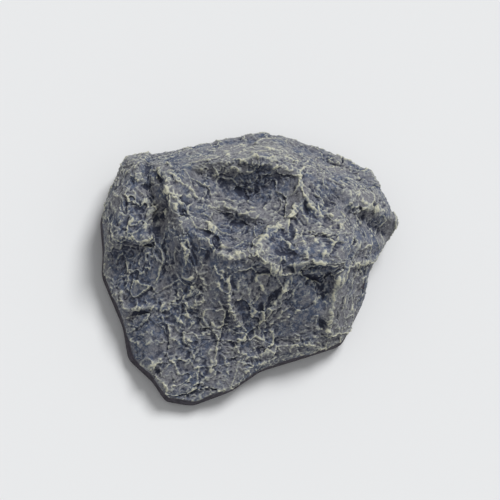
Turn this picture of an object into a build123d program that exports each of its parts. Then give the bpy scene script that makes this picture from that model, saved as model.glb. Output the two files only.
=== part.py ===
"""Key-hiding garden rock: a cast stone-look body over a moulded key box with a sliding door underneath.

The body is an open-pour casting. It stands on a flat, smooth foot band, above which every face is
broken stone: a tall main mass, a lower apron in front of it and a knob at its left end, each
broken down by flat faces, with hollows broken out of the top and the front.
Underneath, a moulded box is bonded into a pocket. Its door runs in two side grooves and slides out
through a shallow channel in the foot, the +X way.

Millimetres. Origin at the middle of the outline on the ground, +Z up out of the foot.
"""

import math
import os
from collections import namedtuple

from build123d import *

os.makedirs("parts", exist_ok=True)

# ---- the key that the box is made for
KEY_LENGTH = 56.0
KEY_WIDTH = 24.5
KEY_SPACE = 2.5  # free room beyond the key each way
BOX_DEPTH = 7.0  # room for two keys, one on the other

# ---- moulded key box, seen along the way the door slides
BOX_WALL = 1.3
BOX_ROOF = 1.2
BOX_CORNER = 3.0
LIP_BOTTOM = 0.4  # the box stays this far off the ground
LIP_THICK = 1.3
LIP_REACH = 1.5
LIP_SETBACK = 0.5  # from the key space, so that the key drops past the lips
GROOVE_HEIGHT = 1.6
LEDGE_THICK = 1.4
RAIL_WALL = 1.5
END_OVERLAP = 1.0  # how far the door reaches past the key space at its inner end
ANCHOR_RIBS = 4
ANCHOR_RIB_WIDTH = 1.6
ANCHOR_RIB_HEIGHT = 0.35
ANCHOR_RIB_SETBACK = 2.0  # below the top of the box

# ---- sliding door
TONGUE_THICK = 1.2
SIDE_GAP = 0.3  # beside the tongues and beside the panel
END_GAP = 0.3
DOOR_OFF_GROUND = 0.7
DOOR_LEAD = 2.0  # how far the outer end reaches past the key space
PIP_RADIUS = 0.9
PIP_HEIGHT = 0.2  # the pips that drag in the grooves when the door is shut
PIP_SETBACK = 6.0
GRIP_LENGTH = 13.0
GRIP_WIDTH = 17.0
GRIP_DEPTH = 0.8
GRIP_SETBACK = 4.5
GRIP_CORNER = 2.0
GRIP_RIDGES = 5
RIDGE_WIDTH = 1.0
RIDGE_SETBACK = 1.5  # at the ends of the thumb ridges
LEAD_CHAMFER = 0.6

# ---- pocket in the casting
BOX_X = -2.6  # middle of the key space
BOX_Y = 8.0
POCKET_GAP = 0.5  # round the box
RAIL_GAP = 0.25  # round the rails
BOND_THICK = 0.8  # bonding paste over the box
BOND_INSET = 3.0
CHANNEL_GAP = 0.4  # round the door where it leaves the foot

# ---- cast body
ROCK_LENGTH = 88.0
FOOT_HEIGHT = 4.4
BREAK_INSET = 0.4  # how far the broken stone stands in from the foot's edge

# The outline, faces and hollows below are drawn together, as an 88 mm long rock, and grow with
# ROCK_LENGTH. First the outline just above the foot, anticlockwise from the far right corner.
OUTLINE = [
    (44.0, 10.7),
    (41.0, 18.7),
    (37.0, 27.3),
    (25.0, 34.5),
    (13.5, 39.3),
    (4.5, 41.6),
    (-6.5, 38.7),
    (-18.5, 34.9),
    (-27.0, 33.6),
    (-37.0, 31.6),
    (-41.5, 21.5),
    (-44.0, 14.0),
    (-43.4, 4.0),
    (-44.0, -2.7),
    (-38.2, -18.0),
    (-37.0, -27.5),
    (-30.2, -34.2),
    (-26.5, -40.3),
    (-18.5, -41.6),
    (-7.0, -37.5),
    (1.5, -31.8),
    (13.0, -28.5),
    (26.0, -24.5),
    (33.2, -12.0),
    (34.4, -4.0),
]

# A flat broken face: it passes through (x, y, z), looks along compass (degrees from +X) and
# leans back at steep degrees from level.
BrokenFace = namedtuple("BrokenFace", "x y z compass steep")

# The tall main mass.
MASS_FACES = {
    "left": BrokenFace(-29.4, 6.0, 19.8, 190, 60),
    "upper_left": BrokenFace(-34.0, 24.0, 14.0, 153, 60),
    "top_left": BrokenFace(-27.0, 33.4, 9.0, 98, 60),
    "top": BrokenFace(-6.5, 38.5, 7.5, 104, 60),
    "top_peak": BrokenFace(6.0, 41.0, 7.0, 82, 56),
    "top_right": BrokenFace(21.0, 35.5, 7.0, 64, 51),
    "right_top": BrokenFace(41.5, 18.7, 10.0, 24, 62),
    "right_low": BrokenFace(40.0, 1.5, 10.0, -27, 64),
    "right_side": BrokenFace(33.2, -10.5, 7.5, -32, 62),
    "front_right": BrokenFace(23.0, -17.5, 16.7, -63, 56),
    "front": BrokenFace(-3.1, -4.2, 34.0, -91, 47),
    "corner": BrokenFace(-20.8, -4.5, 25.3, 222, 49),
    "plateau": BrokenFace(16.0, 3.6, 31.6, 39, 13),
    "plateau_end": BrokenFace(29.9, 12.7, 24.8, 5, 38),
    "crest": BrokenFace(-6.5, 24.3, 33.0, 110, 24),
    "left_shoulder": BrokenFace(-21.0, 18.0, 29.5, 150, 26),
    "brow": BrokenFace(1.5, -10.4, 35.0, -60, 12),
}

# The lower apron that runs out in front of it and to its left.
APRON_FACES = {
    "right": BrokenFace(33.0, -5.0, 8.0, -18, 66),
    "front_right": BrokenFace(12.8, -26.2, 8.2, -66, 38),
    "front": BrokenFace(-14.0, -32.0, 9.8, -91, 27),
    "front_left": BrokenFace(-33.5, -29.0, 8.2, 214, 40),
    "left": BrokenFace(-40.5, -9.0, 8.5, 203, 54),
    "upper_left": BrokenFace(-42.0, 20.0, 9.0, 157, 60),
    "shelf": BrokenFace(-31.0, 2.0, 18.6, 196, 40),
    "shoulder": BrokenFace(-22.5, -12.0, 18.0, 228, 26),
    "back": BrokenFace(0.0, 0.0, 22.0, 90, 20),
}

# The knob at the left end.
KNOB_FACES = {
    "outer": BrokenFace(-43.4, 8.0, 12.0, 176, 68),
    "upper_left": BrokenFace(-41.0, 22.0, 11.0, 155, 66),
    "top_left": BrokenFace(-33.0, 32.6, 9.5, 98, 60),
    "top": BrokenFace(-36.5, 12.0, 21.0, 215, 12),
    "end": BrokenFace(-38.0, 2.6, 16.0, -103, 72),
    "inner": BrokenFace(-29.6, 10.0, 18.0, 8, 66),
}

# A broken-out hollow: its deepest point (x, y, z) and the walls that rise from there, each by
# the compass it looks along and how steep it leans back.
Hollow = namedtuple("Hollow", "x y z walls")
HOLLOWS = {
    "bowl": Hollow(-3.2, 15.6, 24.2, [(-95, 49), (88, 23), (195, 24), (-18, 13)]),
    "second_hollow": Hollow(-8.5, 6.3, 23.4, [(52, 36), (117, 37), (238, 48), (5, 34)]),
    "plateau_hollow": Hollow(22.0, 13.5, 26.0, [(-110, 36), (95, 22), (190, 24), (0, 20)]),
    "cave": Hollow(16.0, -9.8, 22.5, [(-86, 84), (-95, 24), (-25, 36), (215, 50)]),
    "left_ledge": Hollow(-39.6, -11.0, 8.3, [(-112, 76), (203, 49)]),
    "lower_ledge": Hollow(-34.6, -25.0, 8.6, [(-112, 74), (208, 36)]),
    "right_chip": Hollow(33.5, 8.0, 17.0, [(-70, 62), (20, 48)]),
}

# A break line, drawn in plan: how tall or deep it is, how wide, and the places (x, y) that it runs
# through. Ridges stand out of the broken faces along such lines, and clefts are open along them.
BreakLine = namedtuple("BreakLine", "tall wide places")
RIDGES = {
    "left_crest": BreakLine(1.3, 4.6, [
        (-29.0, 23.5), (-27.2, 17.0), (-26.2, 12.4), (-23.7, 8.5), (-21.1, 5.3)
    ]),
    "crest_end": BreakLine(1.2, 4.2, [(-21.6, 6.0), (-16.6, 4.7), (-13.7, 0.6), (-12.3, -4.5)]),
    "middle_band": BreakLine(1.2, 4.6, [(-14.4, -5.3), (-8.9, -5.0), (-2.2, -3.3)]),
    "window_top": BreakLine(1.3, 4.8, [(9.7, 10.4), (6.6, 5.2), (0.8, 1.9), (-3.0, -3.2)]),
    "window_foot": BreakLine(1.4, 5.0, [(-2.9, -2.5), (-1.7, -6.4), (1.7, -8.6), (6.0, -9.5)]),
    "cave_lip": BreakLine(1.2, 4.2, [(4.8, -8.6), (9.2, -7.5), (14.2, -7.1), (20.1, -8.3)]),
    "plateau_edge": BreakLine(1.1, 4.2, [(11.4, 22.0), (11.1, 16.7), (12.6, 10.9), (16.8, 6.7)]),
    "plateau_foot": BreakLine(1.0, 4.2, [(15.1, 7.6), (19.5, 7.1), (23.2, 2.4)]),
    "right_edge": BreakLine(1.1, 4.2, [(21.6, -9.9), (26.9, -5.2), (35.2, -1.0), (36.8, 1.8)]),
    "right_fold": BreakLine(1.2, 4.6, [(26.2, -4.3), (21.5, -11.1), (20.2, -16.1)]),
    "right_heel": BreakLine(1.0, 4.2, [(19.6, -14.9), (20.0, -19.1), (20.3, -23.5)]),
    "far_rim": BreakLine(1.1, 5.2, [(-7.0, 22.3), (-2.2, 23.4), (4.4, 23.6), (12.1, 25.4)]),
    "bowl_step": BreakLine(0.9, 4.0, [(-13.7, 19.3), (-8.5, 20.7), (-2.8, 20.1)]),
    "bowl_sill": BreakLine(0.9, 4.2, [(-24.8, 10.4), (-17.8, 9.8), (-11.3, 10.8), (-6.4, 8.9)]),
    "right_crown": BreakLine(1.0, 5.0, [(26.4, 16.4), (30.4, 12.1), (38.5, 11.9)]),
    "right_middle": BreakLine(0.9, 4.2, [(9.2, 3.2), (14.9, 1.7), (21.5, -1.0)]),
    "left_spur": BreakLine(1.0, 3.8, [(-23.8, 6.7), (-22.3, 0.6), (-21.8, -3.7), (-22.8, -8.5)]),
    "spur_foot": BreakLine(0.9, 3.6, [(-22.8, -8.0), (-21.0, -9.4), (-18.3, -8.0)]),
    "knob_hook": BreakLine(1.0, 4.0, [(-28.4, 13.5), (-31.9, 9.8), (-32.3, 4.7)]),
    "knob_sill": BreakLine(1.0, 4.2, [(-28.8, 8.4), (-31.0, 3.2), (-34.7, 2.7), (-39.2, 3.7)]),
    "centre_rib": BreakLine(0.9, 3.8, [(-10.5, -10.3), (-9.9, -15.6), (-8.0, -19.7), (-5.4, -23.6)]),
    "diagonal_rib": BreakLine(1.1, 4.2, [(7.0, -10.4), (5.0, -14.4), (1.3, -18.4), (-0.8, -23.6)]),
    "left_sill": BreakLine(1.0, 4.2, [(-39.3, -9.0), (-38.2, -14.1), (-33.5, -15.6), (-28.1, -16.2)]),
    "foot_band": BreakLine(0.8, 4.4, [(-9.9, -29.0), (-5.9, -26.4), (1.1, -24.5)]),
    "foot_stratum": BreakLine(0.8, 4.2, [(-5.8, -30.9), (1.9, -28.0), (10.2, -26.6), (19.5, -25.6)]),
    "left_toe": BreakLine(0.9, 4.4, [(-33.2, -29.9), (-31.0, -31.5), (-27.7, -29.6)]),
    "left_rib": BreakLine(0.7, 3.8, [(-27.0, -15.0), (-23.1, -20.1), (-24.2, -24.8)]),
    "cross_rib": BreakLine(0.7, 3.8, [(-16.0, -11.6), (-16.8, -15.3), (-21.5, -16.3), (-22.0, -20.2)]),
}
CLEFTS = {
    "crest_slot": BreakLine(1.2, 3.8, [(-29.2, 23.3), (-28.4, 18.7), (-27.4, 16.0)]),
    "knob_cleft": BreakLine(0.8, 5.6, [(-27.2, 13.2), (-28.6, 8.5), (-30.4, 3.4), (-29.7, -1.2)]),
    "crest_hole": BreakLine(1.0, 3.2, [(-24.2, 9.9), (-21.3, 5.7)]),
    "loop_hole": BreakLine(1.2, 4.0, [(-14.4, 1.9), (-13.9, -4.5)]),
    "window": BreakLine(1.3, 8.5, [(-1.4, -3.4), (3.8, -4.7), (9.9, -6.5)]),
    "cave_roof": BreakLine(1.2, 4.4, [(7.8, -9.7), (12.2, -8.7), (18.1, -9.0), (19.2, -13.8)]),
    "diagonal_cleft": BreakLine(1.4, 4.0, [(5.4, -11.1), (2.3, -15.5), (-0.5, -20.7)]),
    "left_ledge_gap": BreakLine(1.0, 4.0, [(-37.4, -15.9), (-33.5, -16.7), (-29.2, -16.9)]),
    "toe_gap": BreakLine(1.0, 4.6, [(-31.6, -31.3), (-27.2, -34.0)]),
    "crown_gap": BreakLine(1.0, 4.0, [(28.6, 11.6), (31.4, 8.4)]),
    "plateau_gap": BreakLine(1.1, 5.0, [(18.1, 14.1), (20.5, 8.1)]),
    "edge_gap": BreakLine(1.0, 3.8, [(11.4, 11.7), (13.1, 5.6)]),
    "bowl_floor": BreakLine(1.0, 7.0, [(-6.9, 17.0), (-2.3, 14.3), (1.5, 12.7)]),
    "sill_gap": BreakLine(1.0, 5.0, [(-6.2, 6.9), (-4.6, 0.4)]),
    "knob_gap": BreakLine(0.9, 4.6, [(-34.3, 18.9), (-30.8, 14.5)]),
    "knob_pit": BreakLine(0.8, 4.4, [(-36.8, 21.5), (-35.7, 16.4)]),
    "spur_gap": BreakLine(0.9, 3.4, [(-15.5, -3.0), (-17.8, -6.7)]),
    "foot_gap": BreakLine(0.8, 4.0, [(13.2, -27.3), (21.2, -25.3)]),
    "right_gap": BreakLine(0.9, 4.0, [(16.4, -19.5), (20.1, -22.4)]),
}
LINE_ROOT = 0.2  # how far a line's sides reach past the face that it is on

# ---- sizes and places that follow from the values above
GROW = ROCK_LENGTH / (max(x for x, y in OUTLINE) - min(x for x, y in OUTLINE))
KEY_SPACE_LENGTH = KEY_LENGTH + KEY_SPACE
KEY_SPACE_WIDTH = KEY_WIDTH + KEY_SPACE
GROOVE_BOTTOM = LIP_BOTTOM + LIP_THICK
GROOVE_TOP = GROOVE_BOTTOM + GROOVE_HEIGHT
LEDGE_TOP = GROOVE_TOP + LEDGE_THICK
BOX_TOP = GROOVE_TOP + BOX_DEPTH + BOX_ROOF
LIP_EDGE = KEY_SPACE_WIDTH / 2 + LIP_SETBACK
GROOVE_EDGE = LIP_EDGE + LIP_REACH
RAIL_EDGE = GROOVE_EDGE + RAIL_WALL
GROOVE_END = KEY_SPACE_LENGTH / 2 + END_OVERLAP + END_GAP
RAIL_BACK = -GROOVE_END - BOX_WALL
RAIL_FRONT = KEY_SPACE_LENGTH / 2 + BOX_WALL + DOOR_LEAD / 2
TONGUE_BOTTOM = GROOVE_BOTTOM + (GROOVE_HEIGHT - TONGUE_THICK) / 2
DOOR_TOP = TONGUE_BOTTOM + TONGUE_THICK
DOOR_BACK = -KEY_SPACE_LENGTH / 2 - END_OVERLAP
DOOR_FRONT = KEY_SPACE_LENGTH / 2 + DOOR_LEAD


def outward(compass, steep):
    """Unit vector square to a face that looks along compass and leans back at steep."""
    level, lean = math.radians(compass), math.radians(steep)
    return Vector(math.cos(level) * math.sin(lean), math.sin(level) * math.sin(lean), math.cos(lean))


def bar(x0, x1, y0, y1, z0, z1):
    """Block between two corners."""
    return Pos((x0 + x1) / 2, (y0 + y1) / 2, (z0 + z1) / 2) * Box(x1 - x0, y1 - y0, z1 - z0)


def rounded_bar(length, width, corner, z0, z1):
    """Block with rounded upright edges, in the middle of the key space."""
    return Pos(0, 0, z0) * extrude(RectangleRounded(length, width, corner), z1 - z0)


def grown_point(drawn):
    """Where the drawn point of a face or a hollow lies on the rock."""
    return (drawn.x * GROW, drawn.y * GROW, drawn.z * GROW)


def outline_face(inset=0):
    """Flat face of the outline, on the ground."""
    face = make_face(Polyline(*[(x * GROW, y * GROW) for x, y in OUTLINE], close=True))
    return offset(face, -inset, kind=Kind.INTERSECTION) if inset else face


def broken_block(faces):
    """Block of the outline, half as tall as the rock is long, broken down by flat faces."""
    block = Pos(0, 0, FOOT_HEIGHT) * extrude(outline_face(BREAK_INSET), ROCK_LENGTH / 2)
    for face in faces.values():
        plane = Plane(origin=grown_point(face), z_dir=outward(face.compass, face.steep))
        block = split(block, bisect_by=plane, keep=Keep.BOTTOM)
    return block


def broken_out(hollow):
    """The piece of stone that is missing from a hollow."""
    piece = Pos(*grown_point(hollow)) * Box(ROCK_LENGTH, ROCK_LENGTH, ROCK_LENGTH)
    for compass, steep in hollow.walls:
        plane = Plane(origin=grown_point(hollow), z_dir=outward(compass, steep))
        piece = split(piece, bisect_by=plane, keep=Keep.TOP)
    return piece


def spot_on(rock, x, y):
    """Where the rock's upper side lies at a drawn place, and the way its face looks there."""
    upright = Axis((x * GROW, y * GROW, -1), (0, 0, 1))
    return max(rock.find_intersection_points(upright), key=lambda spot: spot[0].Z)


def cross_sections(line, spots, side):
    """Corners of a line's diamond section at each of its places; at both ends it is one point."""
    sections = []
    for number, (place, faces_to) in enumerate(spots):
        root = place - faces_to * LINE_ROOT * side
        if number in (0, len(spots) - 1):
            sections.append([root])
            continue
        along = (spots[number + 1][0] - spots[number - 1][0]).normalized()
        across = along.cross(faces_to).normalized() * (line.wide * GROW / 2)
        rise = faces_to * (line.tall * GROW)
        sections.append([root + across, root - across, place + rise, place - rise])
    return sections


def break_pieces(rock, line, side):
    """The pieces of a ridge (side 1) or a cleft (side -1) on the rock, thin at both ends."""
    places = line.places
    if len(places) == 2:
        (x0, y0), (x1, y1) = places
        places = [places[0], ((x0 + x1) / 2, (y0 + y1) / 2), places[1]]
    sections = cross_sections(line, [spot_on(rock, x, y) for x, y in places], side)
    return [ConvexPolyhedron(near + far) for near, far in zip(sections, sections[1:])]


def stone():
    """The main mass, its apron and its knob in one, with the hollows broken out and the break lines
    on them, on the smooth foot."""
    rock = broken_block(MASS_FACES) + broken_block(APRON_FACES) + broken_block(KNOB_FACES)
    for hollow in HOLLOWS.values():
        rock -= broken_out(hollow)
    ridges = [piece for line in RIDGES.values() for piece in break_pieces(rock, line, 1)]
    clefts = [piece for line in CLEFTS.values() for piece in break_pieces(rock, line, -1)]
    rock = rock + ridges - clefts
    return rock + extrude(outline_face(), FOOT_HEIGHT)


def pocket():
    """Space in the underside for the box and its rails, and the channel the door leaves by."""
    box_length = KEY_SPACE_LENGTH + 2 * (BOX_WALL + POCKET_GAP)
    box_width = KEY_SPACE_WIDTH + 2 * (BOX_WALL + POCKET_GAP)
    room = rounded_bar(box_length, box_width, BOX_CORNER + POCKET_GAP, -1, BOX_TOP + BOND_THICK)
    rail_room = RAIL_EDGE + RAIL_GAP
    room += bar(RAIL_BACK - RAIL_GAP, RAIL_FRONT + RAIL_GAP, -rail_room, rail_room, -1, LEDGE_TOP)
    door_room = GROOVE_EDGE - SIDE_GAP + CHANNEL_GAP
    room += bar(RAIL_FRONT, ROCK_LENGTH, -door_room, door_room, -1, DOOR_TOP + CHANNEL_GAP)
    return Pos(BOX_X, BOX_Y, 0) * room


def rock_body():
    """The casting with its pocket."""
    return stone() - pocket()


def key_box():
    """Moulded box, open below, with an L-shaped rail down each side and a closed inner end."""
    outer_length = KEY_SPACE_LENGTH + 2 * BOX_WALL
    outer_width = KEY_SPACE_WIDTH + 2 * BOX_WALL
    box = rounded_bar(outer_length, outer_width, BOX_CORNER, GROOVE_TOP, BOX_TOP)
    box = fillet(box.faces().sort_by(Axis.Z)[-1].edges(), BOX_ROOF * 0.7)
    box += bar(RAIL_BACK, RAIL_FRONT, -RAIL_EDGE, RAIL_EDGE, LIP_BOTTOM, LEDGE_TOP)
    box -= bar(-GROOVE_END, RAIL_FRONT + 1, -GROOVE_EDGE, GROOVE_EDGE, GROOVE_BOTTOM, GROOVE_TOP)
    box -= bar(-GROOVE_END, RAIL_FRONT + 1, -LIP_EDGE, LIP_EDGE, 0, GROOVE_TOP)
    box -= rounded_bar(
        KEY_SPACE_LENGTH, KEY_SPACE_WIDTH, BOX_CORNER - BOX_WALL, GROOVE_TOP - 0.1, BOX_TOP - BOX_ROOF
    )
    spacing = outer_length / (ANCHOR_RIBS + 1)
    for number in range(ANCHOR_RIBS):
        middle = (number + 1) * spacing - outer_length / 2
        x0, x1 = middle - ANCHOR_RIB_WIDTH / 2, middle + ANCHOR_RIB_WIDTH / 2
        edge = outer_width / 2 + ANCHOR_RIB_HEIGHT
        for side in (-1, 1):
            y0, y1 = sorted((side * edge, side * (edge - 1)))
            box += bar(x0, x1, y0, y1, LEDGE_TOP - 0.5, BOX_TOP - ANCHOR_RIB_SETBACK)
    return Pos(BOX_X, BOX_Y, 0) * box


def bond():
    """Pad of bonding paste between the box and the roof of the pocket."""
    length = KEY_SPACE_LENGTH + 2 * BOX_WALL - 2 * BOND_INSET
    width = KEY_SPACE_WIDTH + 2 * BOX_WALL - 2 * BOND_INSET
    pad = rounded_bar(length, width, BOX_CORNER, BOX_TOP, BOX_TOP + BOND_THICK)
    return Pos(BOX_X, BOX_Y, 0) * pad


def door():
    """Sliding door: a panel between the lips, a tongue along each side and ridges for the thumb."""
    half_panel = LIP_EDGE - SIDE_GAP
    half_tongue = GROOVE_EDGE - SIDE_GAP
    panel = bar(DOOR_BACK, DOOR_FRONT, -half_panel, half_panel, DOOR_OFF_GROUND, DOOR_TOP)
    panel += bar(DOOR_BACK, DOOR_FRONT, -half_tongue, half_tongue, TONGUE_BOTTOM, DOOR_TOP)
    lead_edges = panel.faces().sort_by(Axis.X)[0].edges().filter_by(Axis.Z)
    panel = chamfer(lead_edges, LEAD_CHAMFER)
    grip_x = DOOR_FRONT - GRIP_SETBACK - GRIP_LENGTH / 2
    recess = extrude(RectangleRounded(GRIP_LENGTH, GRIP_WIDTH, GRIP_CORNER), GRIP_DEPTH + 1)
    panel -= Pos(grip_x, 0, DOOR_OFF_GROUND - 1) * recess
    pitch = GRIP_LENGTH / (GRIP_RIDGES + 1)
    for number in range(GRIP_RIDGES):
        ridge_x = grip_x - GRIP_LENGTH / 2 + (number + 1) * pitch
        half_width = GRIP_WIDTH / 2 - RIDGE_SETBACK
        x0, x1 = ridge_x - RIDGE_WIDTH / 2, ridge_x + RIDGE_WIDTH / 2
        panel += bar(x0, x1, -half_width, half_width, DOOR_OFF_GROUND, DOOR_OFF_GROUND + GRIP_DEPTH)
    for side in (-1, 1):
        centre = side * (half_tongue + PIP_HEIGHT - PIP_RADIUS)
        pip = Cylinder(PIP_RADIUS, TONGUE_THICK)
        panel += Pos(DOOR_FRONT - PIP_SETBACK, centre, TONGUE_BOTTOM + TONGUE_THICK / 2) * pip
    return Pos(BOX_X, BOX_Y, 0) * panel


if __name__ == "__main__":
    nodes = {
        "rock_body": rock_body(),
        "key_box": key_box(),
        "slide_door": door(),
        "epoxy_bed": bond(),
    }
    for name, solid in nodes.items():
        solid.label = name
        export_step(solid, f"parts/{name}.step")
        size = solid.bounding_box().size
        print(f"{name}: {size.X:.1f} x {size.Y:.1f} x {size.Z:.1f} mm, {solid.volume:.0f} mm3")
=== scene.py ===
import math

import bmesh
import bpy
import numpy as np
from mathutils import Matrix, Vector, noise
from mathutils.bvhtree import BVHTree


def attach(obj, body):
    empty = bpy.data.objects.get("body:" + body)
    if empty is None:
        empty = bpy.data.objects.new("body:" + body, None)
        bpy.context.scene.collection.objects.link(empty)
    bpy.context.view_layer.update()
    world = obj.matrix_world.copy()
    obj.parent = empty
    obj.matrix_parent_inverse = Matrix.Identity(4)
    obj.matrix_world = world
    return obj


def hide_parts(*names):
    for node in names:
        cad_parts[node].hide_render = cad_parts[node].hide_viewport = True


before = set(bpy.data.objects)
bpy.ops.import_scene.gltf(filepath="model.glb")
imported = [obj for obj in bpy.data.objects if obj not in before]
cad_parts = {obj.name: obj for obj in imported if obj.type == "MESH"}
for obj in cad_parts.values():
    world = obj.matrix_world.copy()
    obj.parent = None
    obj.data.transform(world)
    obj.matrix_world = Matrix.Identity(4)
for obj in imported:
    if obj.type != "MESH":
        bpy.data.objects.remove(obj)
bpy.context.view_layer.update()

MM = 0.001
collection = bpy.context.scene.collection

# ---- cast stone ------------------------------------------------------------------------
# The rock is one open-pour casting of stone-filled resin, from a rubber mould taken off a lump
# of weathered stone. Its broken faces carry a crazed crust of thin ridges round flat hollows.
# It is stained slate blue and purple grey, then dry-brushed with a pale stone colour.


def places_of(mesh):
    """The points' places as an array."""
    places = np.empty(len(mesh.vertices) * 3, np.float32)
    mesh.vertices.foreach_get("co", places)
    return places.reshape(-1, 3).astype(float)


def place_at(mesh, places):
    """Moves the mesh's points to these places."""
    mesh.vertices.foreach_set("co", places.astype(np.float32).ravel())
    mesh.update()


def keep(mesh, attribute, values):
    """Writes one number for each point under the attribute's name."""
    made = mesh.attributes.new(attribute, "FLOAT", "POINT")
    made.data.foreach_set("value", values.astype(np.float32))


def ends_of_edges(mesh):
    """The numbers of the points at each edge's two ends."""
    pairs = np.empty(len(mesh.edges) * 2, np.int32)
    mesh.edges.foreach_get("vertices", pairs)
    return pairs[0::2], pairs[1::2]


def averaged(values, a, b, rounds):
    """Each point's value, averaged with its neighbours' the given number of times."""
    count = len(values)
    share = 1 + np.bincount(a, minlength=count) + np.bincount(b, minlength=count)
    flat = values.reshape(count, -1).astype(float)
    for _ in range(rounds):
        total = flat.copy()
        for k in range(flat.shape[1]):
            total[:, k] += np.bincount(a, flat[b, k], count) + np.bincount(b, flat[a, k], count)
        flat = total / share[:, None]
    return flat.reshape(values.shape)


def outward(mesh):
    """The points' outward directions."""
    return np.array([n.vector for n in mesh.vertex_normals], float)


def eased(values, low, high):
    """0 below low, 1 above high, and a smooth rise between them."""
    t = np.clip((values - low) / (high - low), 0, 1)
    return t * t * (3 - 2 * t)


def plain_mesh(obj):
    """Turns what an object's modifiers make into its own mesh."""
    graph = bpy.context.evaluated_depsgraph_get()
    shaped = obj.evaluated_get(graph)
    made = bpy.data.meshes.new_from_object(shaped, preserve_all_data_layers=True, depsgraph=graph)
    obj.modifiers.clear()
    obj.data = made


# The camera that took the photograph. PIXEL is what one of its pixels spans at the rock.
VIEW_AZIMUTH = math.radians(-30)
VIEW_ELEVATION = math.radians(70)
LENS = 120.0
SENSOR = 36.0
PHOTO_SIDE = 500
PIXEL = 0.297 * MM
AIM_RIGHT = 1.5 * PIXEL
AIM_UP = 19 * PIXEL
back = Vector((
    math.sin(VIEW_AZIMUTH) * math.cos(VIEW_ELEVATION),
    -math.cos(VIEW_AZIMUTH) * math.cos(VIEW_ELEVATION),
    math.sin(VIEW_ELEVATION),
))
right = (Vector((1, 0, 0)) - back * back.x).normalized()
up = back.cross(right)
aim = right * AIM_RIGHT + up * AIM_UP
eye = aim + back * (PHOTO_SIDE * PIXEL / SENSOR * LENS)

cad_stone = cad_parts["rock_body"]
bare_stone = BVHTree.FromObject(cad_stone, bpy.context.evaluated_depsgraph_get())
ROCK_MIDDLE = (250, 269)  # the photograph's pixel at the rock's middle
INWARD_STEPS = 14
INWARD_STEP = 0.02


def on_stone(spot):
    """Where a pixel of the photograph lies on the stone, in mm. One just past its edge is moved in."""
    for step in range(INWARD_STEPS):
        x, y = (p + (middle - p) * step * INWARD_STEP for p, middle in zip(spot, ROCK_MIDDLE))
        target = aim + right * (x - PHOTO_SIDE / 2) * PIXEL + up * (PHOTO_SIDE / 2 - y) * PIXEL
        place = bare_stone.ray_cast(eye, (target - eye).normalized())[0]
        if place is not None:
            return np.array(place) / MM
    raise ValueError(f"pixel {spot} isn't on the stone")


def cast(rows):
    """Traced rows, with their spots cast onto the stone."""
    paths = [np.round([on_stone(spot) for spot in spots], 1) for _, _, spots in rows]
    return [(tall, half_width, path) for (tall, half_width, _), path in zip(rows, paths)]


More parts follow.
